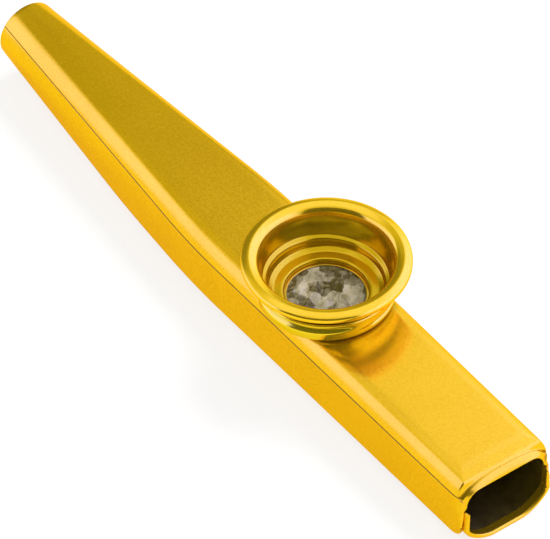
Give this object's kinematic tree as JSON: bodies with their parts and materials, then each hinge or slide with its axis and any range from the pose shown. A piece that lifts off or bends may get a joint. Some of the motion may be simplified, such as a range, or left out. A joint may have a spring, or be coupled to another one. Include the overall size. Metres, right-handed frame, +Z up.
{
  "type": "metal kazoo",
  "caption": "Gold metal kazoo: tapered two-shell body with a round mouth end, a big open end and a flared bell turret that screws down over a thin membrane.",
  "frame": {"origin": "on the table, below the middle of the kazoo's length and width", "axes": "+X along the body, from the mouth end to the big open end; +Z up, out of the bell; +Y to the left, seen from the mouth end"},
  "size_m": [0.1208, 0.0254, 0.0206],
  "materials": {
    "gold_body": "gold anodised, satin",
    "gold_lower": "gold anodised, satin",
    "gold_turret": "gold anodised, spun and polished",
    "gold_bell": "gold anodised, spun and polished",
    "gold_ring": "polished",
    "card": "grey-brown card",
    "film": "thin crinkled translucent film"
  },
  "bodies": {
    "body": {"upper_shell": "gold_body", "lower_shell": "gold_lower", "threaded_collar": "gold_turret", "card_washer": "card", "membrane": "film"},
    "slip_ring": {"slip_ring": "gold_ring"},
    "cap": {"bell_cap": "gold_bell"}
  },
  "joints": [
    {"name": "cap_turn", "type": "hinge", "parent": "body", "child": "slip_ring", "pos_m": [0.0163, 0, 0.0128], "axis": [0, 0, 1], "range_deg": [0, 1080]},
    {"name": "cap_lift", "type": "slide", "parent": "slip_ring", "child": "cap", "axis": [0, 0, 1], "range_m": [0, 0.00558]}
  ],
  "couplings": [
    {"joint": "cap_lift", "follows": "cap_turn", "m_per_rad": 0.00029603}
  ]
}
